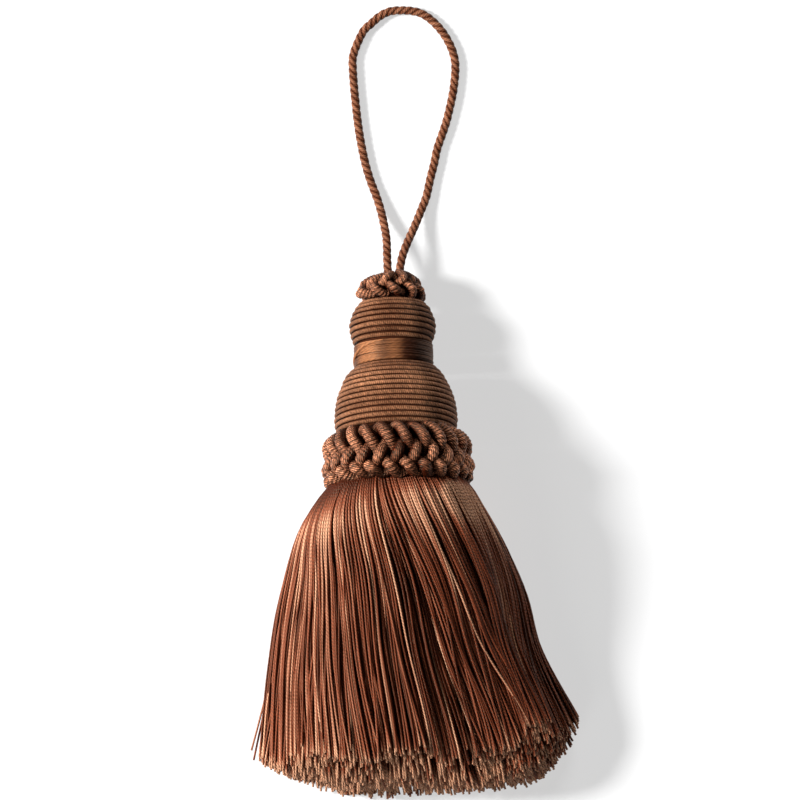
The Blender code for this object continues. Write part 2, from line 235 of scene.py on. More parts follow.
def yarn_look(name, dark, light, plies, lay, roughness, depth, groove=0.45, speckle=0.25,
              ticks=0, gloss=0.4, girth=0.0, pale_and_sheen=None, fade=1.0):
    """Twisted yarn: plies that run round it once for every lay mm, darker by groove between them:
    painted shade in their grooves. ticks is how many short slanted painted highlights, from the
    plies' own twist, stand round the yarn, and girth how many mm it measures round where its
    grain is short slanted strokes. pale_and_sheen is another light colour, in part the paler tone
    of some threads and in part painted sheen, which comes in where the tint is high. There is more
    of it at the root, as painted sheen, and fade is the mm along the yarn after which there isn't."""
    look = Look(name)
    around, along = look.strand()
    tint = look.attribute("tint")
    twist = look.wave(around * plies + along * (plies / lay))
    if ticks:
        fibre = look.wave(around * ticks + along * TICK_SLANT)
    else:
        fibre = look.wave(around * (plies * FIBRES_ROUND) + along * (plies * FIBRES_ALONG / lay))
    cloud = look.noise(CLOUD_SCALE)
    grain = look.strokes(around, along, girth) if girth else look.noise(GRAIN_SCALE)
    # the pale colour: in part some threads' paler tone, in part painted sheen near the root
    if pale_and_sheen:
        root_sheen = ROOT_SHEEN - along * (ROOT_SHEEN / fade)
        light = look.mix((tint - PALE_AND_SHEEN_FROM) * PALE_AND_SHEEN_GAIN + root_sheen, light, pale_and_sheen)
    colour = look.mix(tint * TINT_WEIGHT + cloud * CLOUD_WEIGHT - DARKER, dark, light)
    relief = twist ** CREST_POWER
    # painted shade in the grooves between the plies
    shade = (1.0 - groove) + relief * groove
    # the ticks: painted highlights, with painted shade between them
    if ticks:
        shade = shade * (TICK_SHADE + fibre ** TICK_POWER * TICK_HIGHLIGHT)
    shade = shade * (1.0 - speckle * 0.5 + grain * speckle)
    height = relief + fibre * (TICK_HEIGHT if ticks else FIBRE_HEIGHT) + grain * GRAIN_HEIGHT
    return look.finish(look.scaled(colour, shade), roughness, height, depth, gloss)


CORD_LOOK = yarn_look("loop_yarn", linear(72, 27, 6), linear(167, 111, 82), plies=4, lay=1.5,
                      roughness=0.42, depth=0.08, gloss=0.18)
BRAID_LOOK = yarn_look("braid_yarn", linear(60, 18, 3), linear(200, 132, 97), plies=2, lay=1.1,
                       roughness=0.46, depth=0.1, groove=0.7, speckle=4.0, ticks=15, gloss=0.22)
GIMP_LOOK = yarn_look("wound_gimp", linear(56, 18, 2), linear(182, 124, 88), plies=2, lay=0.72,
                      roughness=0.55, depth=0.14, groove=0.75, speckle=2.6, gloss=0.14, girth=2.8)
FLOSS_LOOK = yarn_look("waist_floss", linear(54, 22, 9), linear(150, 96, 60), plies=2, lay=2.6,
                       roughness=0.5, depth=0.03, gloss=0.3)
THREAD_LOOK = yarn_look("skirt_thread", linear(66, 21, 5), linear(153, 79, 51), plies=2, lay=1.3,
                        roughness=0.42, depth=0.06, groove=0.6, gloss=0.3,
                        pale_and_sheen=linear(200, 146, 113), fade=45.0)
# the bodies inside the braids, windings and skirt: dark with painted shade, for what shows between
# strands
LINING_SHADE_LOOK = yarn_look("inner_yarn_painted_shade", linear(60, 21, 6), linear(86, 37, 14), plies=2, lay=2.0,
                        roughness=0.8, depth=0.05)


# ---- curves ----

CURVE_STEPS = 30  # how finely a route is read between two of its points


def through(knots, values, at):
    """The smooth curve that passes through the values at the knots, read at the places in at."""
    knots, values, at = (np.asarray(given, float) for given in (knots, values, at))
    slope = np.gradient(values, knots, axis=0)
    index = np.clip(np.searchsorted(knots, at, side="right") - 1, 0, len(knots) - 2)
    shape = at.shape + (1,) * (values.ndim - 1)
    gap = (knots[index + 1] - knots[index]).reshape(shape)
    share = (at - knots[index]).reshape(shape) / gap
    square, cube = share ** 2, share ** 3
    return (values[index] * (2 * cube - 3 * square + 1)
            + values[index + 1] * (3 * square - 2 * cube)
            + gap * slope[index] * (cube - 2 * square + share)
            + gap * slope[index + 1] * (cube - square))


def drift(draw, size, waves, count):
    """A value that drifts smoothly about 0, by about size, in so many waves."""
    return through(np.arange(waves + 1), draw.normal(0.0, size, waves + 1),
                   np.linspace(0, waves, count))


def ramp(value, start, run):
    """0 up to the start, and then evenly to 1 over the run."""
    return np.clip((value - start) / run, 0.0, 1.0)


def near(value, place, spread):
    """1 at the place, and smoothly less away from it."""
    return np.exp(-(((value - place) / spread) ** 2))


def even_curve(points, count):
    """Points at even distances along the smooth curve through the given ones."""
    points = np.asarray(points, float)
    last = len(points) - 1
    fine = through(np.arange(last + 1), points, np.linspace(0, last, last * CURVE_STEPS + 1))
    run = np.concatenate(([0.0], np.cumsum(np.linalg.norm(np.diff(fine, axis=0), axis=1))))
    at = np.linspace(0.0, run[-1], count)
    return np.stack([np.interp(at, run, fine[:, axis]) for axis in range(points.shape[1])], axis=1)


def curve_length(points):
    return float(np.linalg.norm(np.diff(points, axis=0), axis=1).sum())


def run_along(paths):
    """How far each point of each path (strands, stations, 3) lies from the path's start."""
    steps = np.linalg.norm(np.diff(paths, axis=1), axis=2)
    return np.concatenate((np.zeros((len(paths), 1)), steps.cumsum(axis=1)), axis=1)


def unit(vectors):
    return vectors / np.maximum(np.linalg.norm(vectors, axis=-1, keepdims=True), 1e-12)


def cross_frames(paths):
    """For paths (strands, stations, 3): two directions across each, carried along without twist."""
    ahead = unit(np.gradient(paths, axis=1))
    side = np.zeros_like(ahead[:, 0])
    side[:, 2] = 1.0
    side[np.abs(ahead[:, 0, 2]) > 0.9] = (1.0, 0.0, 0.0)
    across = np.empty_like(paths)
    for station in range(paths.shape[1]):
        now = ahead[:, station]
        side = unit(side - now * np.sum(side * now, axis=1, keepdims=True))
        across[:, station] = side
    return across, np.cross(ahead, across)


def in_place(points):
    """From the head's own axis (x right, -y up, z to the head), in mm, to where it lies."""
    lean, yaw = -(math.pi / 2 + LEAN), YAW
    about_x = np.array(((1, 0, 0), (0, math.cos(lean), -math.sin(lean)),
                        (0, math.sin(lean), math.cos(lean))))
    about_z = np.array(((math.cos(yaw), -math.sin(yaw), 0), (math.sin(yaw), math.cos(yaw), 0),
                        (0, 0, 1)))
    return points @ (about_z @ about_x).T + COLLAR_PLACE


def ring_point(angle, radius, station):
    """On a ring round the head's axis: the angle grows to the right on the upper side."""
    across, down = radius * np.cos(angle), radius * np.sin(angle)
    return np.stack(np.broadcast_arrays(across, down, station), -1)


def right_of_axis(points):
    """How far places on the head lie to the right of its collar's middle."""
    return points[..., 0] - COLLAR_PLACE[0]


# ---- meshes ----

TWIST_SHIFT = 0.618  # each strand's twist starts this many mm further on
# the tint of those bodies, dark with painted shade
LINING_SHADE_TINT = 0.2

# painted shade where a strand meets the next one: how much darker it is painted there, the cosine
# from which it darkens, and the power by which it does
WOUND_PAINTED_SHADE = (1.1, 0.75, 1.0)
BRAID_PAINTED_SHADE = (0.85, 0.9, 1.0)
CORD_PAINTED_SHADE = (1.3, 1.0, 0.6)
THREAD_PAINTED_SHADE = (0.65, 0.95, 0.8)


def write_mesh(name, points, loops, starts, walls, look, tint=LINING_SHADE_TINT, uv=None):
    """A piece from points in mm, its faces' corners in turn, and where each face's own start. The
    first faces, its walls, are shaded smooth, and the caps after them flat."""
    mesh = bpy.data.meshes.new(name)
    mesh.vertices.add(len(points))
    mesh.vertices.foreach_set("co", (points * MM).ravel())
    mesh.loops.add(len(loops))
    mesh.loops.foreach_set("vertex_index", loops)
    mesh.polygons.add(len(starts))
    mesh.polygons.foreach_set("loop_start", starts)
    mesh.polygons.foreach_set("use_smooth", np.arange(len(starts)) < walls)
    uv = np.zeros((len(loops), 2)) if uv is None else uv
    mesh.uv_layers.new(name="strand").data.foreach_set("uv", uv.ravel())
    tint = np.full(len(points), tint)
    mesh.attributes.new("tint", "FLOAT", "POINT").data.foreach_set("value", tint)
    mesh.update(calc_edges=True)
    mesh.validate()
    piece = bpy.data.objects.new(name, mesh)
    bpy.context.scene.collection.objects.link(piece)
    mesh.materials.append(look)
    return piece


def tube_faces(count, stations, sides):
    """Corners and starts of the faces of closed tubes, and how many of them are walls. The walls
    come first, and then the flat caps."""
    number = np.arange(count * stations * sides).reshape(count, stations, sides)
    beside = np.roll(number, -1, axis=2)
    quads = np.stack((number[:, :-1], beside[:, :-1], beside[:, 1:], number[:, 1:]), -1)
    first_caps, last_caps = number[:, 0, ::-1], number[:, -1]
    loops = np.concatenate((quads.ravel(), first_caps.ravel(), last_caps.ravel()))
    walls = quads.size // 4
    starts = np.concatenate((np.arange(walls) * 4, quads.size + np.arange(2 * count) * sides))
    return loops, starts, walls


def tube_uv(run, sides):
    """Turns round each tube and mm along it, for each corner of its walls and caps."""
    step = np.arange(sides) / sides + np.zeros(run.shape + (1,))
    run = run[:, :, None]
    low_u, high_u, low_v, high_v = np.broadcast_arrays(
        step[:, :-1], step[:, :-1] + 1 / sides, run[:, :-1], run[:, 1:])
    wall_uv = np.stack((low_u, low_v, high_u, low_v, high_u, high_v, low_u, high_v), -1)
    cap_uv = np.full((2 * len(run) * sides, 2), 0.5)
    return np.concatenate((wall_uv.reshape(-1, 2), cap_uv))


def strands(name, paths, radius, sides, tint, look, outward=None, painted_shade=WOUND_PAINTED_SHADE):
    """One mesh of closed tubes along paths (strands, stations, 3) in mm. radius is one number, or
    one for each station, or one for each side of each. Where outward directions are given, the
    tubes get painted shade towards their sides, where they meet the next ones."""
    paths = np.asarray(paths, float)
    count, stations = paths.shape[:2]
    radius = np.asarray(radius, float)
    if radius.ndim < 3:
        radius = np.broadcast_to(radius, (count, stations))[..., None]
    across, up = cross_frames(paths)
    turn = np.arange(sides) * (2 * math.pi / sides)
    rim = across[:, :, None] * np.cos(turn)[:, None] + up[:, :, None] * np.sin(turn)[:, None]
    points = (paths[:, :, None] + radius[..., None] * rim).reshape(-1, 3)
    points[:, 2] = np.maximum(points[:, 2], FLOOR_CLEARANCE)
    loops, starts, walls = tube_faces(count, stations, sides)
    run = run_along(paths) + (np.arange(count) * TWIST_SHIFT % 1.0)[:, None]
    tint = np.broadcast_to(np.asarray(tint, float).reshape(count, -1), (count, stations))
    tint = np.repeat(tint[..., None], sides, axis=2)
    # painted shade towards the tubes' sides, where they meet the next ones
    if outward is not None:
        facing = (np.sum(outward * across, axis=2)[..., None] * np.cos(turn)
                  + np.sum(outward * up, axis=2)[..., None] * np.sin(turn))
        most, level, power = painted_shade
        tint = tint - most * np.clip((level - facing) / level, 0.0, 1.0) ** power
    return write_mesh(name, points, loops, starts, walls, look, tint.ravel(), tube_uv(run, sides))


def turned(name, profile, around, look, tint=LINING_SHADE_TINT):
    """A closed turned form round the head's axis from a profile of (radius, station) in mm."""
    profile = np.asarray(profile, float)
    angle = np.arange(around) * (2 * math.pi / around)
    points = in_place(ring_point(angle[None], profile[:, :1], profile[:, 1:])).reshape(-1, 3)
    number = np.arange(len(points)).reshape(len(profile), around)
    beside, below = np.roll(number, -1, axis=1), np.roll(number, -1, axis=0)
    corner = np.roll(beside, -1, axis=0)
    quads = np.stack((number, below, corner, beside), -1).reshape(-1, 4)
    starts = np.arange(len(quads)) * 4
    return write_mesh(name, points, quads.ravel(), starts, len(quads), look, tint)


def fit(piece, slot, *nodes):
    """Set a finished piece on the tassel: it rides on the body and stands for its CAD nodes."""
    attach(piece, "root")
    if nodes:
        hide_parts(*nodes)


# ---- loop ----

CORD_LAY = 3.7  # length of cord that holds one full turn of its three plies
PLY_RADIUS = 0.48
PLY_ORBIT = 0.31  # the plies' middles lie this far from the cord's
PLY_SIDES = 16
PLY_TINTS = (0.72, 0.9, 0.6)
LOOP_STATIONS = 420


def make_loop():
    """The hanging cord: three plies laid up to the left round the loop's own line."""
    line = even_curve(LOOP_ROUTE, LOOP_STATIONS)
    length = curve_length(line)
    across, up = cross_frames(line[None])
    run = np.linspace(0.0, length, LOOP_STATIONS)
    plies = []
    for ply in range(3):
        turn = -2 * math.pi * (run / CORD_LAY + ply / 3)
        plies.append(line + PLY_ORBIT * (across[0] * np.cos(turn)[:, None]
                                         + up[0] * np.sin(turn)[:, None]))
    plies = np.array(plies)
    cord = strands("loop_cord_yarns", plies, PLY_RADIUS, PLY_SIDES, PLY_TINTS, CORD_LOOK,
                   unit(plies - line), CORD_PAINTED_SHADE)
    fit(cord, "cord", "loop_cord")


# ---- braids ----

STRAND_SIDES = 16
STRAND_SPACING = 0.14  # between a strand's stations
MEASURE_STEPS = 12  # how finely a strand is read to measure it
CLOSING_LAP = 0.02  # how far its end runs into its start, in half bights
WANDER_SHARES = (1.0, 0.4, 1.0)  # of the wander: round the ring, out of it, along its axis

STRAND_PLIES = 2  # they stand up as ridges round a strand
STRAND_LAY = 1.1
RIDGE_DEPTH = 0.2  # as a share of its radius
RIDGE_POWER = 0.7
SWELL_STATIONS = 12  # its thickness changes over this many stations
SWELL = 0.035  # by about this share
STRAND_TINT = 0.62
TINT_SWING = 0.2  # its tint swings by this much
TINT_RUN = 5.3  # over this many mm for each radian
TINT_STARTS = 6.3  # from anywhere in this many radians

COLLAR_ACROSS = (-9.0, -3.0, 4.0, 9.0)  # mm to the right of the axis
COLLAR_PAINTED_LIGHT = (0.0, -0.25, -0.2, 0.5)  # and how much lighter the braid is painted there

# station, radius, lift and slant
COLLAR_ROWS = ((4.0, 11.1, 0.0, 0.0), (1.9, 11.45, 1.1, -0.12), (-1.3, 11.6, 1.15, 0.0),
               (-3.2, 11.5, 1.0, 0.12), (-4.0, 10.6, 0.0, 0.0))
KNOT_ROWS = ((34.0, 2.7, 0.0, 0.0), (32.7, 3.85, 1.05, 0.0), (31.2, 4.55, 1.05, 0.0),
             (30.2, 4.55, 0.0, 0.0))

# radius and station of the plain bodies inside the braids
COLLAR_LINING = ((10.3, 4.6), (10.6, 0.0), (10.3, -3.4), (9.6, -3.4), (9.3, 4.4))
KNOT_CORE = ((0.1, 33.4), (2.2, 33.2), (3.4, 32.0), (3.8, 30.4), (0.1, 30.2))


def braid_lines(draw, rows, leads, bights, first_over, start, wander, spread):
    """The lines of a ring braid's strands, and the directions out of the ring along them."""
    laps = math.gcd(leads, bights)
    steps = 2 * leads * (bights // laps)
    cycle = list(range(leads + 1)) + list(range(leads - 1, 0, -1))
    station, distance, lift, slant = np.array([rows[number] for number in cycle]).T
    side = np.zeros(2 * leads)
    for row in range(leads - 1):
        side[row + 1] = first_over if row % 2 == 0 else -first_over
        side[2 * leads - 1 - row] = -side[row + 1]
    bight = 2 * math.pi / bights
    index = np.arange(-2, steps + 3)
    phase = index % (2 * leads)
    paths, outward = [], []
    samples = None
    for strand in range(laps):
        stray = draw.normal(0.0, wander, (len(index), 3)) * WANDER_SHARES
        stray[-5:] = stray[:5]  # the ring closes, so its last knots are its first ones
        angle = start + (index / 2 + strand + slant[phase] * (phase > leads)) * bight
        angle = angle + stray[:, 0] / distance[phase]
        aside = spread * np.cos(angle) * (station[phase] - station[-1])
        knots = np.stack((angle, distance[phase] + side[phase] * lift[phase] + stray[:, 1],
                          station[phase] + stray[:, 2] + aside), axis=1)
        if samples is None:
            fine = through(index, knots, np.linspace(0, steps, steps * MEASURE_STEPS + 1))
            samples = int(curve_length(ring_point(*fine.T)) / STRAND_SPACING)
        fine = through(index, knots, np.linspace(0.0, steps + CLOSING_LAP, samples))
        paths.append(in_place(ring_point(*fine.T)))
        outward.append(in_place(ring_point(fine[:, 0], 1.0, 0.0)) - COLLAR_PLACE)
    return np.array(paths), np.array(outward)


def braid(name, node, rows, leads, bights, radius, first_over=1.0, start=0.0, wander=0.12,
          spread=0.0, seed=3, painted_light=(0.0, 0.0, 0.0, 0.0)):
    """A ring braid of over and under strands. rows are (station, radius, lift, slant) at the top
    bend, at each row of crossings and at the bottom bend: lift is how far the upper strand stands
    out there and the lower one in, and slant how far a strand on its way back up is turned aside,
    in bights. spread draws the rows apart at the ring's right and together at its left, and
    painted_light is how much lighter the braid is painted at each place of COLLAR_ACROSS, as
    painted light and shade."""
    draw = np.random.default_rng(seed)
    paths, outward = braid_lines(draw, rows, leads, bights, first_over, start, wander, spread)
    laps, samples = paths.shape[:2]
    run = run_along(paths)
    turn = np.arange(STRAND_SIDES) / STRAND_SIDES + run[:, :, None] / STRAND_LAY
    ridge = np.abs(np.cos(math.pi * STRAND_PLIES * turn)) ** RIDGE_POWER
    swells = samples // SWELL_STATIONS + 2
    swell = through(np.arange(swells), draw.normal(1.0, SWELL, (swells, laps)),
                    np.arange(samples) / SWELL_STATIONS).T[:, :, None]
    thick = radius * swell * (1.0 - RIDGE_DEPTH + RIDGE_DEPTH * ridge)
    swing = np.sin(run / TINT_RUN + draw.uniform(0, TINT_STARTS, (laps, 1)))
    tint = STRAND_TINT + TINT_SWING * swing
    # painted light and shade across the ring, by how far right of the middle it lies
    tint += np.interp(right_of_axis(paths), COLLAR_ACROSS, painted_light)
    piece = strands(name, paths, thick, STRAND_SIDES, tint, BRAID_LOOK, outward, BRAID_PAINTED_SHADE)
    fit(piece, "cord", node)


def make_collar():
    """Four strands over and under in a wide ring, on a ring of painted shade that closes the gaps.
    """
    braid("collar_braid", "collar", COLLAR_ROWS, leads=4, bights=24, radius=1.1,
          painted_light=COLLAR_PAINTED_LIGHT)
    fit(turned("collar_lining", COLLAR_LINING, 64, LINING_SHADE_LOOK), "cord")


def make_top_knot():
    """A small cap of three strands round the loop's two roots, on a plain core of painted shade."""
    braid("top_knot_braid", "top_ruff", KNOT_ROWS, leads=3, bights=11, radius=0.83,
          first_over=-1.0, start=0.2, wander=0.18, spread=0.16, seed=8)
    fit(turned("top_knot_core", KNOT_CORE, 48, LINING_SHADE_LOOK), "cord")


# ---- windings ----

GIMP_RADIUS = 0.44
GIMP_CREST = 0.2  # a winding's crest stands this far outside the profile
GIMP_SIDES = 14
GIMP_SWAYS = 4  # its distance changes this many times a turn
GIMP_SWAY = 0.03  # by about this much
GIMP_TINT = 0.5
GIMP_TINT_STRAY = 0.18  # the turns differ from that by about this much

WOUND_ACROSS = (-9.0, -5.0, -1.0, 4.0, 8.0)  # mm to the right of the axis
WOUND_PAINTED_LIGHT = (0.05, 0.05, -0.2, 0.1, 0.3)  # and how much lighter the windings are painted there

CORE_INSET = 0.45  # a bulb's core lies this far inside its profile

# node, profile, turns of gimp, stations in a turn, its core's bore and sides, and seed
BULBS = (("lower_bulb", LOWER_BULB, 13, 96, 2.0, 72, 5),
         ("upper_bulb", UPPER_BULB, 8, 80, 1.5, 64, 6))


def wound(name, node, profile, turns, stations, seed):
    """Gimp wound from top to foot of a profile."""
    draw = np.random.default_rng(seed)
    count = turns * stations
    line = even_curve(profile, count)
    slope = unit(np.gradient(line, axis=0))
    out = np.stack((-slope[:, 1], slope[:, 0]), axis=1)
    sway = drift(draw, GIMP_SWAY, turns * GIMP_SWAYS, count)
    line = line + out * (GIMP_CREST - GIMP_RADIUS + sway)[:, None]
    angle = np.linspace(0.0, 2 * math.pi * turns, count) + math.pi / 2
    path = in_place(ring_point(angle, line[:, 0], line[:, 1]))[None]
    outward = in_place(ring_point(angle, out[:, 0], out[:, 1]))[None] - COLLAR_PLACE
    tint = GIMP_TINT + drift(draw, GIMP_TINT_STRAY, turns, count)
    # painted light and shade across the windings
    tint += np.interp(right_of_axis(path[0]), WOUND_ACROSS, WOUND_PAINTED_LIGHT)
    piece = strands(name, path, GIMP_RADIUS, GIMP_SIDES, tint, GIMP_LOOK, outward, WOUND_PAINTED_SHADE)
    fit(piece, "gimp", node)


def core_profile(profile, inset, bore):
    """A closed section inside a winding: the profile drawn in by inset, and back along its bore."""
    profile = np.asarray(profile, float)
    inner = profile - (inset, 0.0)
    inner[0, 1] -= inset / 2
    inner[-1, 1] += inset / 2
    return np.concatenate((inner, ((bore, inner[-1, 1]), (bore, inner[0, 1]))))


def make_bulbs():
    for node, profile, turns, stations, bore, sides, seed in BULBS:
        wound(f"{node}_gimp", node, profile, turns, stations, seed)
        # the core, dark with painted shade, shows between the gimp's turns
        core = turned(f"{node}_core", core_profile(profile, CORE_INSET, bore), sides, LINING_SHADE_LOOK)
        fit(core, "gimp")


# ---- waist ----

FLOSS_RADIUS = 0.15
FLOSS_SIDES = 6
FLOSS_STATIONS = 97
FLOSS_RINGS = 40
FLOSS_TURN = 1.004  # each goes round this many times
FLOSS_MARGIN = 0.1  # between the outermost rings and the ends of the waist
FLOSS_LAYERS = (6.88, 0.12)  # radius of the lower layer, and what the upper one has more
FLOSS_TILT = 0.2  # a ring is askew by about this much
FLOSS_SWELL = 0.06  # and goes in and out by this much
FLOSS_TINT_STRAY = 0.14
WAIST_INSET = 0.25
WAIST_BORE = 1.5
# the waist's core is darker than its floss: painted shade between the turns
WAIST_CORE_SHADE = 0.1

# the end that is drawn across the others: where it starts and how far it goes on, in degrees
# and in stations; how far out it lies; and its radius, and what it has more in its middle
DRAWN_ANGLES = (-196, 92)
DRAWN_STATIONS = (17.4, 3.6)
DRAWN_RISE = 1.8  # it climbs most at its start
DRAWN_DISTANCE = 7.1
DRAWN_RADII = (0.12, 0.16)
DRAWN_TINT = 0.95

# painted sheen: how light the floss is painted, by degrees round from the top of the waist to its
# right
FLOSS_PAINTED_SHEEN_FROM = (-180.0, -100.0, -70.0, -58.0, -50.0, -35.0, -28.0, -19.0, -12.0, -5.0, 3.0, 11.0,
              18.0, 30.0, 45.0, 60.0, 80.0, 180.0)
FLOSS_PAINTED_SHEEN = (0.4, 0.3, 0.1, 0.6, 0.95, 1.0, 0.75, 0.3, 0.1, 0.35, 0.55, 0.25,
         -0.15, -0.35, -0.15, 0.05, 0.35, 0.4)


# painted sheen of the floss at each angle round the waist
def painted_sheen(angle):
    around = (np.degrees(angle) + 270.0) % 360.0 - 180.0
    return np.interp(around, FLOSS_PAINTED_SHEEN_FROM, FLOSS_PAINTED_SHEEN)


def floss_rings(draw):
    """The floss's turns, each a little askew, and how light they are along them: painted sheen and
    own tone.
    """
    angle = np.linspace(0.0, 2 * math.pi * FLOSS_TURN, FLOSS_STATIONS)[None]
    share = (np.arange(FLOSS_RINGS) + draw.uniform(0.1, 0.9, FLOSS_RINGS)) / FLOSS_RINGS
    top, foot = WAIST[0][1], WAIST[2][1]
    station = foot + FLOSS_MARGIN + (top - foot - 2 * FLOSS_MARGIN) * share
    tilt = draw.normal(0.0, FLOSS_TILT, FLOSS_RINGS)[:, None]
    phase = draw.uniform(0.0, 2 * math.pi, FLOSS_RINGS)[:, None]
    height = station[:, None] + tilt * np.sin(angle + phase)
    lower, more = FLOSS_LAYERS
    distance = (lower + more * (np.arange(FLOSS_RINGS) % 2))[:, None]
    distance = distance + FLOSS_SWELL * np.sin(3 * angle + 2 * phase)
    # painted sheen round the waist, and each turn's own tone
    tint = painted_sheen(angle) + draw.normal(0.0, FLOSS_TINT_STRAY, FLOSS_RINGS)[:, None]
    return in_place(ring_point(angle, distance, height)), tint


def drawn_end():
    """The end that is drawn across the other turns, and its radius along it."""
    share = np.linspace(0.0, 1.0, FLOSS_STATIONS)
    bulge = np.sin(math.pi * share)
    angle = math.radians(DRAWN_ANGLES[0]) + share * math.radians(DRAWN_ANGLES[1])
    station = DRAWN_STATIONS[0] + DRAWN_STATIONS[1] * (1 - (1 - share) ** DRAWN_RISE)
    path = in_place(ring_point(angle, DRAWN_DISTANCE + FLOSS_SWELL * bulge, station))
    return path, DRAWN_RADII[0] + DRAWN_RADII[1] * bulge ** 0.5


def make_waist():
    """Flat-laid floss round the waist, with one end drawn across it."""
    rings, tint = floss_rings(np.random.default_rng(12))
    end, end_radius = drawn_end()
    radius = np.full((FLOSS_RINGS + 1, FLOSS_STATIONS), FLOSS_RADIUS)
    radius[-1] = end_radius
    tint = np.concatenate((tint, np.full((1, FLOSS_STATIONS), DRAWN_TINT)))
    piece = strands("waist_floss_turns", np.concatenate((rings, end[None])), radius, FLOSS_SIDES,
                    tint, FLOSS_LOOK)
    fit(piece, "floss", "waist_band")
    # the core's dark tint is painted shade
    core = turned("waist_core", core_profile(WAIST, WAIST_INSET, WAIST_BORE), 64, FLOSS_LOOK,
                  WAIST_CORE_SHADE)
    fit(core, "floss")


# ---- the skirt's form ----

SKIRT_RUN = SKIRT_SECTIONS[0, 1] - SKIRT_SECTIONS[:, 1]  # from the first section to each
COLLAR_TUCK = 1.9  # the collar draws the threads in by this much
TUCK_RUN = 6.5  # within about this distance down the skirt


def section_values(run):
    """The skirt's section at each distance down it, as a dict of columns."""
    columns = through(SKIRT_RUN, SKIRT_SECTIONS, run)
    section = {name: columns[:, [number]] for number, name in enumerate(SECTION_COLUMNS)}
    section["underside"] = np.maximum(section["underside"], 0.0)
    section["top"] = section["top"] - COLLAR_TUCK * near(run, 0.0, TUCK_RUN)[:, None]
    return section


def outline(section, angle):
    """Places on a section's outline: the share of its half width, and the height. The roof is
    half an ellipse, and so is the lower half, down to where it is cut level."""
    rise = np.sin(angle)
    roof = section["widest"] + (section["top"] - section["widest"]) * rise
    depth = section["widest"] - section["underside"]
    below = section["widest"] - depth * np.minimum(-rise / section["flat"], 1.0)
    return np.stack((np.cos(angle), np.where(rise >= 0.0, roof, below)), axis=-1)


def skirt_point(run, across, up):
    """Places inside the skirt: across and up run from -1 to 1 inside each section's outline."""
    section = section_values(run)
    upper, lower = np.radians(section["upper_corner"]), np.radians(section["lower_corner"])
    right, rise = (across + 1) / 2, (up + 1) / 2
    roof = outline(section, math.pi - upper - right * (math.pi - 2 * upper))
    floor = outline(section, math.pi - lower + right * (math.pi + 2 * lower))
    side = lower + rise * (upper - lower)
    edge_right, edge_left = outline(section, side), outline(section, math.pi - side)
    low_left, low_right = outline(section, math.pi - lower), outline(section, lower)
    top_left, top_right = outline(section, math.pi - upper), outline(section, upper)
    right, rise = right[..., None], rise[..., None]
    blend = (roof * rise + floor * (1 - rise) + edge_right * right + edge_left * (1 - right)
             - (low_left * (1 - right) + low_right * right) * (1 - rise)
             - (top_left * (1 - right) + top_right * right) * rise)
    aside = blend[..., 0] * section["half_width"]
    along = (section["foot"] + section["rake"] * blend[..., 1] + math.tan(YAW) * aside
             + section["curl"] * blend[..., 0] ** 4)
    return np.stack((section["middle"] + aside, along, blend[..., 1]), axis=-1)


# ---- the skirt's threads ----

THREAD_RADIUS = 0.21
THREAD_SIDES = 5
THREAD_COLUMNS = 64
THREAD_ROWS = 44
THREAD_STATIONS = np.append(np.linspace(0.0, 0.985, 25), 1.0)
SKIRT_PIECES = 3

# share of the way down, and the outer threads' radius, which is fuller near the collar
THREAD_AT = (0.0, 0.08, 0.25, 0.5)
THREAD_RADII = (0.21, 0.24, 0.23, 0.21)

SHELL = (0.28, 0.12, 0.12)  # laid at full length: this near the top, the sides, the floor
INNER_LEFT_OUT = 3  # of the threads inside it, one in this many is left out
INNER_FROM = 13  # and they are laid from this station only
LOCK_COLUMNS = 4  # threads that hold together, across and up
LOCK_ROWS = 2
PLACE_STRAY = (0.14, 0.06)  # how far a root strays, across and up, where its cell is 1
GATHER = (-0.1, 0.75)  # how far locks draw together: the least and the most
GATHER_POWER = 1.1  # they do so most a little past half-way down

# across (0) or up (1), and how far locks, threads and crossing threads stray by their ends
LANE_STRAYS = ((0, 0.04, 0.022, 0.11), (1, 0.05, 0.04, 0.04))
STRAY_POWER = 1.5
CROSSING_SHARE = 0.22  # this share of the threads cross the others
CROSSING_FROM = 0.86  # and over them, where they start above this
CROSSING_REACH = 1.01  # and end this far out, where the outline is 1
LOCK_WOBBLE = (0.009, 3)  # the size and number of a lock's sideways waves
THREAD_WOBBLES = ((0.006, 5), (0.01, 5))  # and of a thread's, across and up

# by where the threads start, from the top of the skirt round to its left and right, in radians:
# how much further round they end, and how far they sink below the others
FAN_FROM = (-3.3, -1.2, -0.85, -0.72, -0.58, -0.42, -0.34, -0.2, -0.12, 0.05, 0.17, 0.29, 0.41,
            0.76, 1.2, 3.3)
FAN_TURN = (0.0, 0.0, 0.04, 0.15, 0.28, 0.4, 0.44, 0.74, 0.72, 0.6, 0.54, 0.5, 0.42, 0.15,
            0.0, 0.0)
FAN_POWER = 1.8  # they turn most near the collar
FAN_STRAY = 0.025
SINK_FROM = (-3.3, -1.3, -0.95, -0.75, -0.6, -0.48, -0.36, -0.28, -0.2, -0.06, 0.04, 0.15, 0.25,
             0.36, 0.5, 0.62, 0.8, 1.1, 3.3)
SINK = (0.0, 0.0, 0.03, 0.0, 0.06, 0.0, 0.06, 0.16, 0.0, 0.02, 0.12, 0.0, 0.03,
        0.13, 0.04, 0.13, 0.04, 0.0, 0.0)
RIM = 0.98  # past this the threads are held back
RIM_PLAY = 0.02  # and go no further than this more

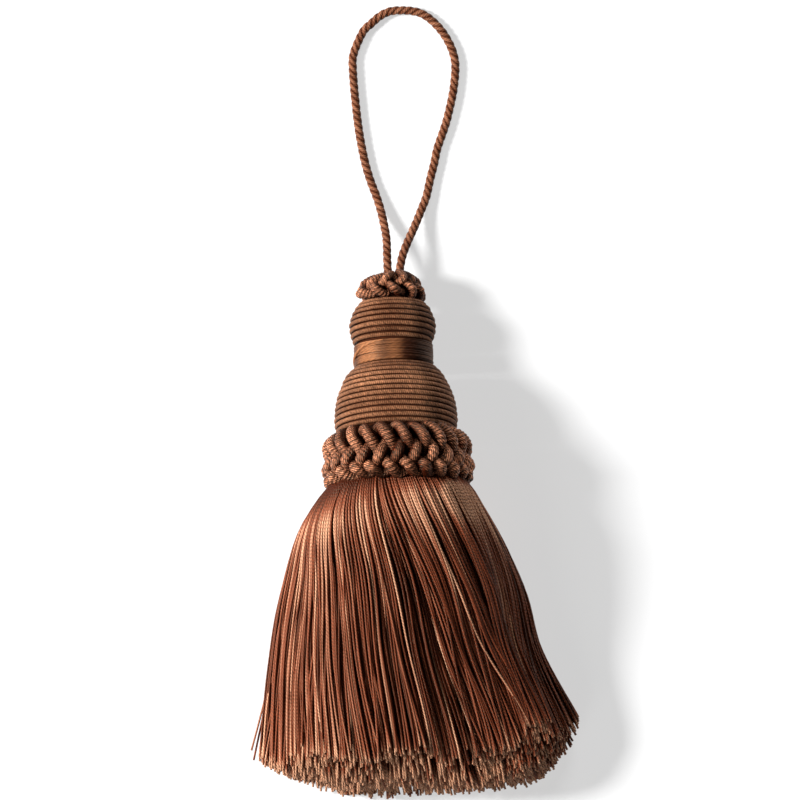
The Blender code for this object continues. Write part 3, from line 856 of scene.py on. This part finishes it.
# a few threads at the left edge stay out, and those beside them part from them
EDGE_ACROSS = -0.9  # they start further left than this
EDGE_UP = (-0.3, 0.6)  # and between these heights
PARTING = 0.07  # the others are drawn in by this share
PARTING_ACROSS = (0.6, 0.3)  # from this far across, and fully so this much further
PARTING_DOWN = (0.5, 0.22)  # most at this share of the way down, and about this far from it

# across, and how far beyond the last section the threads end there: next to the floor, and on top
END_ACROSS = (-1.0, -0.75, -0.6, -0.4, 0.0, 0.35, 0.7, 0.8, 0.88, 1.0)
END_UNDER = (-0.7, -1.2, -0.9, 0.4, 1.2, 0.8, 1.1, 0.2, -2.0, -5.2)
END_OVER = (-0.8, 0.0, 0.2, 0.6, -0.9, 0.8, 0.0, -0.6, -1.8, -4.4)
END_STRAYS = (0.5, 0.32)  # and how much locks and threads differ there
END_FROM = 0.4  # they are drawn out from this share of the way down
TIER_DROP = 3.2  # the threads below the upper ones end this much further out
TIER_PLACE = 0.62  # how far up that step is
TIER_EDGE = 0.05  # how soft it is
TIER_RISE = 1.3  # and how far above the floor it is at its full size

# loose threads that stand out at the left
STRAY_THREADS = (((-24.2, -12.0, 7.4), (-25.9, -20.0, 7.0), (-27.3, -28.0, 6.4),
                  (-28.8, -34.2, 5.6), (-30.3, -39.8, 4.6)),
                 ((-24.6, -15.0, 6.2), (-26.2, -23.0, 5.8), (-27.6, -30.6, 5.2),
                  (-28.8, -36.4, 4.6), (-29.9, -41.6, 3.9)))
STRAY_RADIUS = 0.19
STRAY_STATIONS = 24
STRAY_TINTS = (0.8, 0.6)

# the body inside the threads, dark with painted shade: how far it goes across, up and down the
# skirt
CORE_ACROSS = 0.84
CORE_UP = (-0.8, 0.7)
CORE_DOWN = (0.03, 0.8)
CORE_COLUMNS = 12
CORE_ROWS = 8
CORE_STATIONS = 20


def plant_threads(draw):
    """Where each thread starts, across and up in the skirt; whether it shows from outside; and
    the number of its lock."""
    column, row = np.meshgrid(np.arange(THREAD_COLUMNS), np.arange(THREAD_ROWS))
    column, row = column.ravel(), row.ravel()
    cell = np.array((2.0 / THREAD_COLUMNS, 2.0 / THREAD_ROWS))
    place = np.stack((column + 0.5 * (row % 2) + 0.25, row + 0.5), axis=1) * cell - 1.0
    top, sides, floor = SHELL
    shell = ((place[:, 1] > 1.0 - top) | (np.abs(place[:, 0]) > 1.0 - sides)
             | (place[:, 1] < floor - 1.0))
    kept = shell | ((column + row) % INNER_LEFT_OUT > 0)
    column, row, place, shell = column[kept], row[kept], place[kept], shell[kept]
    place += draw.uniform(-1.0, 1.0, place.shape) * cell * PLACE_STRAY
    lock_row = row // LOCK_ROWS
    shift = draw.integers(0, LOCK_COLUMNS, THREAD_ROWS)[lock_row]
    lock = lock_row * (THREAD_COLUMNS // LOCK_COLUMNS + 2) + (column + shift) // LOCK_COLUMNS
    return place, shell, lock


def uneven(draw, lock, lock_stray, thread_stray):
    """A chance amount for each thread, in part the same for its whole lock."""
    shared = draw.normal(0.0, lock_stray, lock.max() + 1)[lock]
    return shared + draw.normal(0.0, thread_stray, len(lock))


def wobble(draw, count, stations, size, waves):
    """Smooth sideways drift for each of count strands, none at the root."""
    knots = np.arange(waves + 1)
    values = draw.normal(0.0, 1.0, (waves + 1, count)) * size
    values[0] = 0.0
    return through(knots, values, np.linspace(0.0, waves, stations))


def fan_out(across, up, share, place, crossing, stray):
    """The threads' lanes turned aside as they fan out, some sunk below the others, and parted
    at the left edge."""
    turn, reach = np.arctan2(across, up), np.maximum(np.abs(across), np.abs(up))
    start = turn[:1] + stray
    turn = turn + (1.0 - (1.0 - share) ** FAN_POWER) * np.interp(start, FAN_FROM, FAN_TURN)
    held = RIM + RIM_PLAY * np.tanh((reach - RIM) / RIM_PLAY)
    reach = np.where(reach > RIM, held, reach)
    sink = share * np.interp(start, SINK_FROM, SINK)
    over = crossing & (place[:, 1] > CROSSING_FROM)
    reach = np.where(over, reach + share * (CROSSING_REACH - reach), reach * (1.0 - sink))
    beside = ((place[:, 0] > EDGE_ACROSS) | (place[:, 1] < EDGE_UP[0])
              | (place[:, 1] > EDGE_UP[1]))
    leftmost = ramp(-across, *PARTING_ACROSS) * beside
    reach = reach * (1.0 - PARTING * leftmost * near(share, *PARTING_DOWN))
    around_x, around_y = np.sin(turn), np.cos(turn)
    reach = reach / np.maximum(np.abs(around_x), np.abs(around_y))
    return around_x * reach, around_y * reach


def lay_threads(draw, place, lock, share):
    """Each thread's place across and up inside the skirt, at each share of the way down it."""
    count, locks = len(place), lock.max() + 1
    sizes = np.maximum(np.bincount(lock, minlength=locks), 1)
    middle = np.stack([np.bincount(lock, place[:, axis], locks) / sizes for axis in (0, 1)], axis=1)
    gather = draw.uniform(*GATHER, locks)[lock] * np.sin(math.pi * share ** GATHER_POWER)[:, None]
    crossing = draw.random(count) < CROSSING_SHARE
    share = share[:, None]
    lanes = []
    for axis, lock_stray, stray, crossing_stray in LANE_STRAYS:
        lane = place[:, axis] + (middle[lock, axis] - place[:, axis]) * gather
        slant = draw.normal(0.0, stray, count) + draw.normal(0.0, crossing_stray, count) * crossing
        slant = slant + draw.normal(0.0, lock_stray, locks)[lock]
        lane = lane + share ** STRAY_POWER * slant
        lane = lane + wobble(draw, locks, len(share), *LOCK_WOBBLE)[:, lock]
        lanes.append(lane + wobble(draw, count, len(share), *THREAD_WOBBLES[axis]))
    return fan_out(*lanes, share, place, crossing, draw.normal(0.0, FAN_STRAY, locks)[lock])


def thread_paths(share, across, up, reach_on):
    """The threads' lines, (threads, stations, 3), with uneven ends in two tiers."""
    paths = skirt_point(SKIRT_RUN[-1] * share, across, up)
    across, up = across[-1], up[-1]
    tier = 1.0 - 1.0 / (1.0 + np.exp((TIER_PLACE - up) / TIER_EDGE))
    end = (np.interp(across, END_ACROSS, END_UNDER) * (1 - up) / 2
           + np.interp(across, END_ACROSS, END_OVER) * (1 + up) / 2
           + TIER_DROP * tier * ramp(up, -1.0, TIER_RISE) + reach_on)
    paths[..., 1] -= end * ramp(share, END_FROM, 1.0 - END_FROM)[:, None]
    paths = paths.transpose(1, 0, 2)
    paths[..., 2] = np.maximum(paths[..., 2], THREAD_RADIUS + FLOOR_CLEARANCE)
    return paths


def skirt_outward(paths, share):
    """The direction out of the skirt at each point of its threads."""
    section = section_values(SKIRT_RUN[-1] * share)
    middle, widest = section["middle"][:, 0], section["widest"][:, 0]
    outward = np.zeros_like(paths)
    outward[..., 0] = (paths[..., 0] - middle) / section["half_width"][:, 0] ** 2
    outward[..., 2] = (paths[..., 2] - widest) / (section["top"][:, 0] - widest) ** 2
    return unit(outward)


def make_skirt_core():
    """A closed body of painted shade inside the threads, so nothing else shows between them."""
    low, high = CORE_UP
    side = np.linspace(-CORE_ACROSS, CORE_ACROSS, CORE_COLUMNS + 1)[:-1]
    edge = np.linspace(low, high, CORE_ROWS + 1)[:-1]
    right = np.full(CORE_ROWS, CORE_ACROSS)
    across = np.concatenate((side, right, -side, -right))
    up = np.concatenate((np.full(CORE_COLUMNS, low), edge, np.full(CORE_COLUMNS, high),
                         low + high - edge))
    share = np.linspace(*CORE_DOWN, CORE_STATIONS)
    points = skirt_point(SKIRT_RUN[-1] * share, np.tile(across, (CORE_STATIONS, 1)),
                         np.tile(up, (CORE_STATIONS, 1))).reshape(-1, 3)
    number = np.arange(len(points)).reshape(CORE_STATIONS, -1)
    beside = np.roll(number, -1, axis=1)
    quads = np.stack((number[:-1], number[1:], beside[1:], beside[:-1]), -1).reshape(-1, 4)
    loops = np.concatenate((quads.ravel(), number[0], number[-1, ::-1]))
    starts = np.append(np.arange(len(quads)) * 4, (quads.size, quads.size + number.shape[1]))
    piece = write_mesh("skirt_core", points, loops, starts, len(quads), LINING_SHADE_LOOK)
    fit(piece, "thread", "skirt")


# ---- the skirt's tints ----

THREAD_TINT = 0.5
TINT_STRAYS = (0.17, 0.28)  # how much locks and threads differ from it
CALM_DOWN = (0.0, 0.3)  # they differ less near the collar: share of the way down,
CALM = (0.3, 1.0)  # and share of the difference
# the cut ends: in part their own paler tips, in part painted light
TIP_TONE_AND_LIGHT = (0.25, 0.85)  # how much lighter the last two stations are
CREST_TINT = 0.14  # and the outer threads, to make up for the painted shade at their sides

# painted light down the skirt: painted shadow under the collar, a painted sheen band, lit ends
# share of the way down, and how much lighter the threads are painted there
DOWN_PAINTED_LIGHT_AT = (0.0, 0.05, 0.085, 0.13, 0.2, 0.3, 0.6, 0.8, 1.0)
DOWN_PAINTED_LIGHT = (-0.6, -0.4, 0.1, 0.5, 0.45, 0.1, -0.05, 0.0, 0.2)

# the painted sheen band below the collar: the share of the way down where it is, and how far it
# goes from there; and how much lighter it makes the threads across the skirt
BAND_DOWN = (0.1, 0.08)
BAND_ACROSS = (-1.0, -0.3, 0.1, 0.5, 0.75, 1.0)
BAND_PAINTED_SHEEN = (-1.05, -0.25, -0.1, 0.1, 0.8, 0.55)

# painted shade: the threads darken down the skirt and to its right: by this much for all the way
# down and half the width; and the place where each starts and the range over which it grows
PAINT_SHADE = 0.45
PAINT_SHADE_DOWN = (0.25, 0.5)
PAINT_SHADE_ACROSS = (-0.5, 1.2)


def thread_tints(stray, share, across):
    """The tint of each thread at each of its stations, from how far it strays from the others, with
    lighter ends and painted shadow, sheen and shade down and across the skirt.
    """
    across = across.T
    tint = THREAD_TINT + stray[:, None] * np.interp(share, CALM_DOWN, CALM)
    # the ends: their own paler tips, and painted light on them
    tint[:, -2:] += TIP_TONE_AND_LIGHT
    # painted shadow under the collar, painted sheen below it, painted light at the ends
    tint += np.interp(share, DOWN_PAINTED_LIGHT_AT, DOWN_PAINTED_LIGHT)
    # painted shade down the skirt and to its right
    tint -= (PAINT_SHADE * np.clip(share - PAINT_SHADE_DOWN[0], 0.0, PAINT_SHADE_DOWN[1])
             * np.clip(across - PAINT_SHADE_ACROSS[0], 0.0, PAINT_SHADE_ACROSS[1]))
    # the painted sheen band below the collar
    return tint + near(share, *BAND_DOWN) * np.interp(across, BAND_ACROSS, BAND_PAINTED_SHEEN)


def threads(name, paths, radius, tint, outward=None, nodes=("skirt",)):
    """One piece of skirt threads, set in its place."""
    piece = strands(name, paths, radius, THREAD_SIDES, tint, THREAD_LOOK, outward, THREAD_PAINTED_SHADE)
    fit(piece, "thread", *nodes)


def make_skirt():
    """Twisted threads, close together under the collar, which part, cross and end unevenly."""
    draw = np.random.default_rng(21)
    share = THREAD_STATIONS
    place, shell, lock = plant_threads(draw)
    across, up = lay_threads(draw, place, lock, share)
    tint = thread_tints(uneven(draw, lock, *TINT_STRAYS), share, across)
    paths = thread_paths(share, across, up, uneven(draw, lock, *END_STRAYS))
    # the outer threads are lighter, to make up for their painted shade at the sides
    outer, outer_tint = paths[shell], tint[shell] + CREST_TINT
    outward = skirt_outward(outer, share)
    radius = np.interp(share, THREAD_AT, THREAD_RADII)
    for number in range(SKIRT_PIECES):
        mine = slice(number, None, SKIRT_PIECES)
        threads(f"skirt_threads_{number + 1}", outer[mine], radius, outer_tint[mine], outward[mine])
    make_skirt_core()
    loose = np.array([even_curve(route, STRAY_STATIONS) for route in STRAY_THREADS])
    threads("skirt_stray_threads", loose, STRAY_RADIUS, STRAY_TINTS, nodes=())
    inner = np.append(np.arange(INNER_FROM, len(share) - 1, 2), len(share) - 1)
    threads("skirt_threads_inside", paths[~shell][:, inner], THREAD_RADIUS, tint[~shell][:, inner])


# ---- studio ----

VIEW_MIDDLE = Vector((-3.42, 23.6, 12.0)) * MM
VIEW_WIDTH = 144.0 * MM
CAMERA_HEIGHT = 1.4
CLIP_START = 0.01
SENSOR_WIDTH = 36.0
FLOOR_SIZE = 6.0
FLOOR_TONES = ((0.31, 0.31, 0.31, 1.0), (0.33, 0.33, 0.33, 1.0))
FLOOR_PATCHES = 3.0  # of the two tones, to a metre
FLOOR_ROUGHNESS = 0.9
FLOOR_GLOW = 0.55
AIR_LIGHT = 0.04

# name, place and size in metres, and watts
LIGHTS = (("key_light", (-1.02, 0.18, 0.74), 0.3, 46.5),
          ("head_light", (0.2, 1.0, 0.6), 0.4, 5.0),
          ("fill_light", (-0.5, -0.9, 0.8), 0.6, 3.0))


def make_floor():
    bpy.ops.mesh.primitive_plane_add(size=FLOOR_SIZE, location=(0.0, 0.0, 0.0))
    floor = bpy.context.object
    floor.name = "floor"
    look = Look("light_table")
    tone = look.mix(look.noise(FLOOR_PATCHES), *FLOOR_TONES)
    floor.data.materials.append(look.finish(tone, FLOOR_ROUGHNESS, gloss=0.0, glow=FLOOR_GLOW))


def add_light(name, place, size, watts):
    """A round lamp that shines on the frame's origin."""
    lamp = bpy.data.lights.new(name, "AREA")
    lamp.shape = "DISK"
    lamp.size = size
    lamp.energy = watts
    light = bpy.data.objects.new(name, lamp)
    bpy.context.scene.collection.objects.link(light)
    light.location = place
    light.rotation_euler = (-Vector(place)).to_track_quat("-Z", "Y").to_euler()


def add_camera():
    """Looks straight down on the tassel, with the view's width across the picture."""
    lens = bpy.data.cameras.new("camera")
    lens.sensor_width = SENSOR_WIDTH
    lens.lens = SENSOR_WIDTH * CAMERA_HEIGHT / VIEW_WIDTH
    lens.clip_start = CLIP_START
    camera = bpy.data.objects.new("camera", lens)
    bpy.context.scene.collection.objects.link(camera)
    camera.location = VIEW_MIDDLE + Vector((0.0, 0.0, CAMERA_HEIGHT))
    bpy.context.scene.camera = camera


def make_studio():
    make_floor()
    for light in LIGHTS:
        add_light(*light)
    world = bpy.data.worlds.new("studio_air")
    world.use_nodes = True
    air = world.node_tree.nodes["Background"]
    air.inputs["Color"].default_value = WHITE
    air.inputs["Strength"].default_value = AIR_LIGHT
    bpy.context.scene.world = world
    bpy.context.scene.view_settings.view_transform = "Standard"
    add_camera()


make_studio()
make_loop()
make_top_knot()
make_bulbs()
make_waist()
make_collar()
make_skirt()
